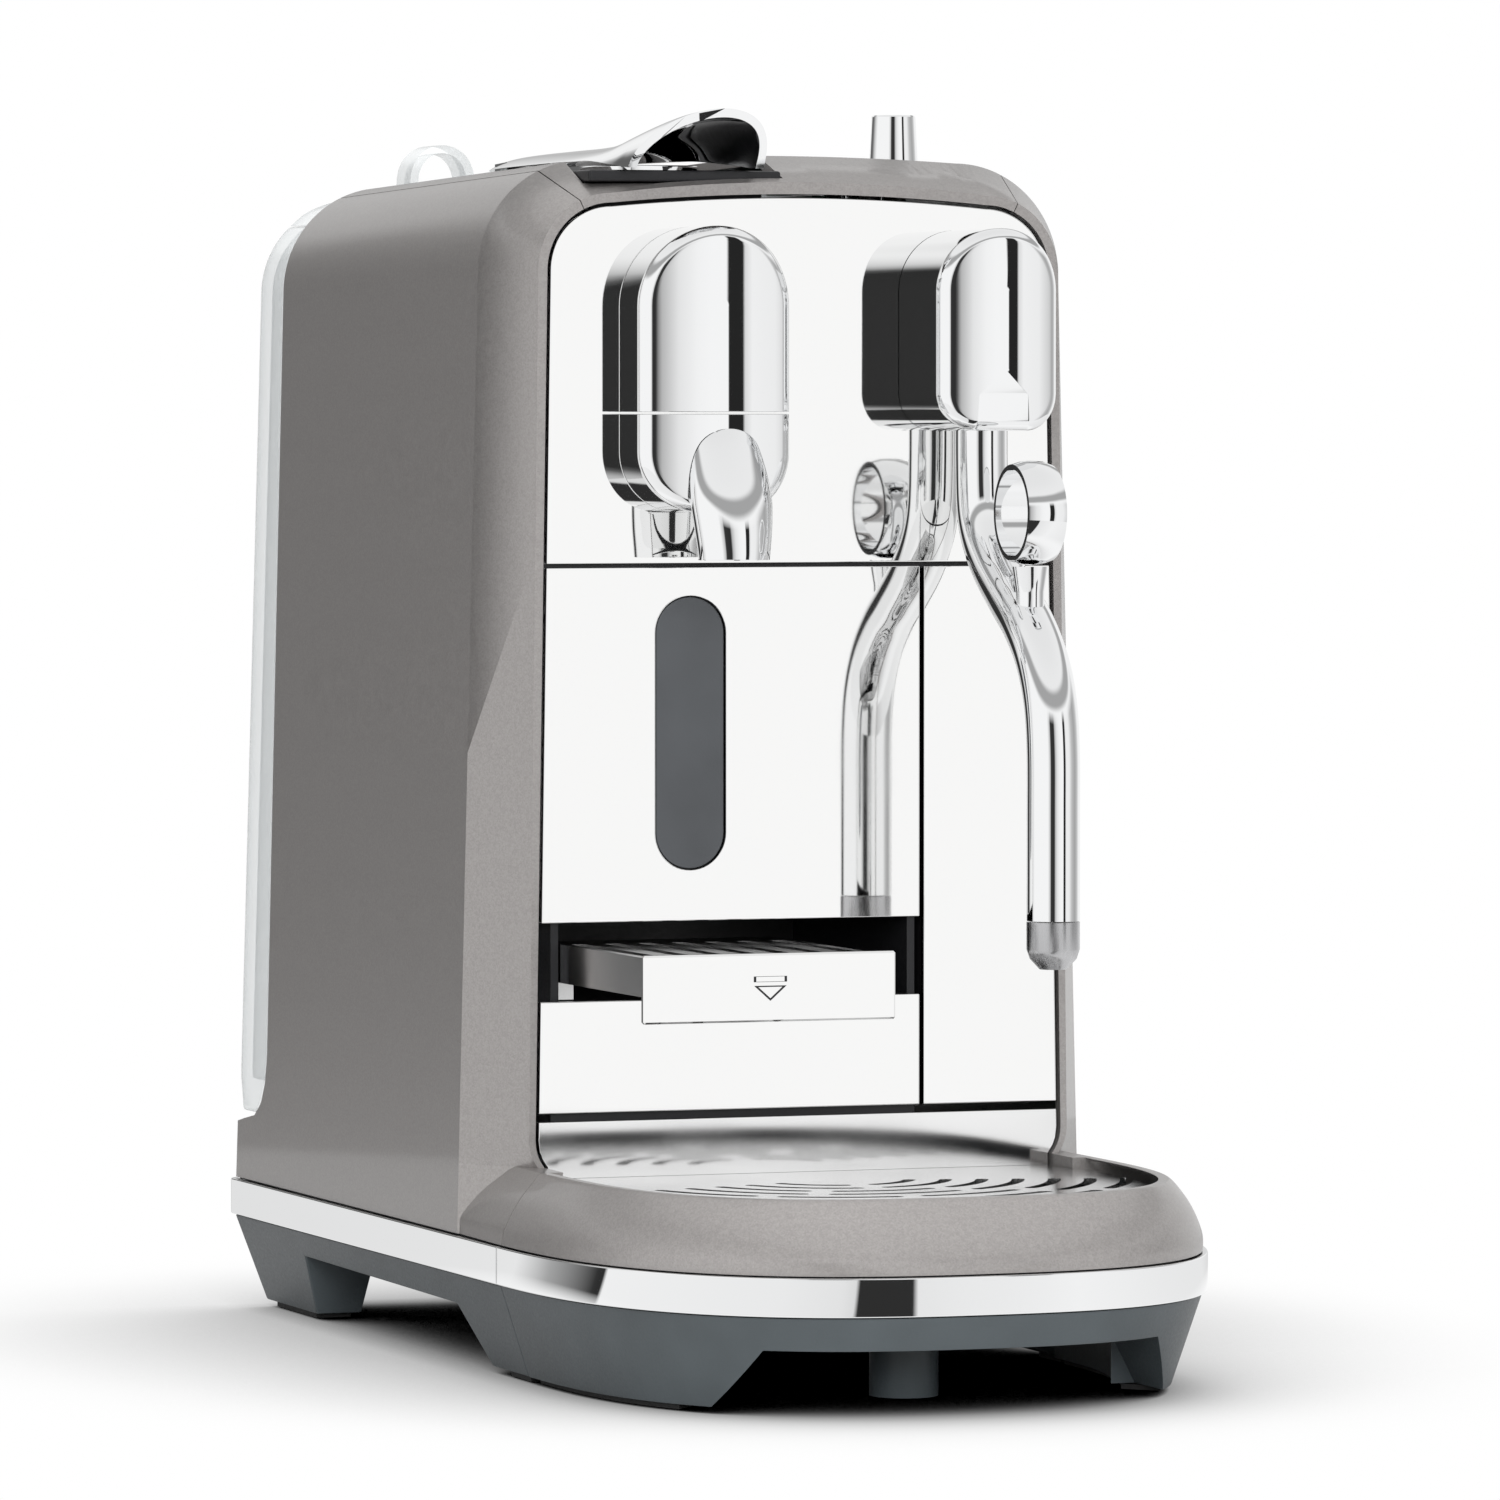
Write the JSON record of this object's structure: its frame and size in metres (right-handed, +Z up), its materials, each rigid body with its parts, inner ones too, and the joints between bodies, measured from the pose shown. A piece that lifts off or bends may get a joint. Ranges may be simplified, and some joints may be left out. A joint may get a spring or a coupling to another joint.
{
  "type": "pod coffee machine",
  "caption": "Pod coffee machine with a steam wand, hooded lever, clear rear water tank, pull-out drip drawer and sliding cup support.",
  "frame": {"origin": "on the worktop, under the middle of the base", "axes": "+Z up, -Y the front, +X to the right as seen from the front"},
  "size_m": [0.171, 0.343, 0.3161],
  "materials": {
    "paint": "warm grey metallic lacquer, satin gloss",
    "polished_steel": "mirror polished steel",
    "chrome": "bright chrome plate",
    "slate_plastic": "satin slate grey",
    "black_plastic": "satin black",
    "charcoal_plastic": "satin charcoal",
    "rubber": "matte",
    "clear_plastic": "clear, polished",
    "display_glass": "black glass",
    "brass": "machined",
    "cast_alloy": "as cast",
    "circuit_board": "lacquered board",
    "steel": "drawn"
  },
  "bodies": {
    "body": {"base_chassis": "slate_plastic", "foot_pad_front_left": "rubber", "foot_pad_front_right": "rubber", "foot_pad_rear_left": "rubber", "foot_pad_rear_right": "rubber", "body_band": "chrome", "side_shell_left": "paint", "side_shell_right": "paint", "top_cover": "paint", "rear_lower_cover": "paint", "inner_frame": "black_plastic", "front_panel_upper": "polished_steel", "front_panel_right": "polished_steel", "brew_head_upper": "chrome", "brew_head_lower": "chrome", "coffee_spout": "chrome", "steam_head": "chrome", "lever_bracket": "black_plastic", "capsule_slot_housing": "black_plastic", "capsule_collar": "chrome", "tank_seat": "black_plastic", "cord_gland": "black_plastic", "pump": "steel", "heater_block": "cast_alloy", "steam_valve": "brass", "brew_chamber": "black_plastic", "control_board": "circuit_board", "control_plate": "circuit_board", "display_window": "display_glass"},
    "piston": {"brew_piston": "cast_alloy"},
    "dial": {"selector_dial": "chrome"},
    "start": {"start_button": "chrome"},
    "power": {"power_button": "chrome"},
    "lever": {"lever_handle": "chrome"},
    "wand": {"steam_tube": "chrome", "steam_tip": "steel", "wand_ring": "chrome"},
    "tank": {"water_tank": "clear_plastic", "tank_valve": "black_plastic"},
    "lid": {"tank_lid": "clear_plastic", "tank_handle": "clear_plastic"},
    "drawer": {"tray_base": "slate_plastic", "tray_foot_pad_left": "rubber", "tray_foot_pad_right": "rubber", "tray_centre_foot": "slate_plastic", "tray_band": "chrome", "tray_skirt": "paint", "drip_basin": "black_plastic", "tray_back_wall": "polished_steel", "drawer_frame": "black_plastic", "drawer_panel_upper": "polished_steel", "drawer_panel_lower": "polished_steel", "drawer_grip_insert": "charcoal_plastic"},
    "grid": {"drip_grid": "polished_steel"},
    "bin": {"capsule_bin": "charcoal_plastic"},
    "cup_support": {"support_plate": "polished_steel", "support_deck": "polished_steel"}
  },
  "joints": [
    {"name": "drawer_slide", "type": "slide", "parent": "body", "child": "drawer", "axis": [0, -1, 0], "range_m": [0, 0.12]},
    {"name": "grid_lift", "type": "slide", "parent": "drawer", "child": "grid", "axis": [0, 0, 1], "range_m": [0, 0.035]},
    {"name": "bin_lift", "type": "slide", "parent": "drawer", "child": "bin", "axis": [0, 0, 1], "range_m": [0, 0.04]},
    {"name": "support_slide", "type": "slide", "parent": "drawer", "child": "cup_support", "axis": [0, 1, 0], "range_m": [0, 0.066]},
    {"name": "lever_hinge", "type": "hinge", "parent": "body", "child": "lever", "pos_m": [-0.0294, 0.0885, 0.2965], "axis": [-1, 0, 0], "range_deg": [0, 80]},
    {"name": "piston_slide", "type": "slide", "parent": "body", "child": "piston", "axis": [0, 1, 0], "range_m": [0, 0.0142]},
    {"name": "wand_hinge", "type": "hinge", "parent": "body", "child": "wand", "pos_m": [0.0424, -0.0578, 0.24], "axis": [-1, 0, 0], "range_deg": [0, 22]},
    {"name": "dial_turn", "type": "hinge", "parent": "body", "child": "dial", "pos_m": [0.0426, 0.0045, 0.304], "axis": [0, 0, 1], "range_deg": [-140, 140]},
    {"name": "start_press", "type": "slide", "parent": "body", "child": "start", "axis": [0, 0, -1], "range_m": [0, 0.0012], "stiffness_N_per_m": 400},
    {"name": "power_press", "type": "slide", "parent": "body", "child": "power", "axis": [0, 0, -1], "range_m": [0, 0.0012], "stiffness_N_per_m": 400},
    {"name": "tank_lift", "type": "slide", "parent": "body", "child": "tank", "axis": [0, 0, 1], "range_m": [0, 0.15]},
    {"name": "lid_hinge", "type": "hinge", "parent": "tank", "child": "lid", "pos_m": [0, 0.1679, 0.28965], "axis": [-1, 0, 0], "range_deg": [0, 100]}
  ],
  "couplings": [
    {"joint": "piston_slide", "follows": "lever_hinge", "m_per_rad": 0.01}
  ]
}
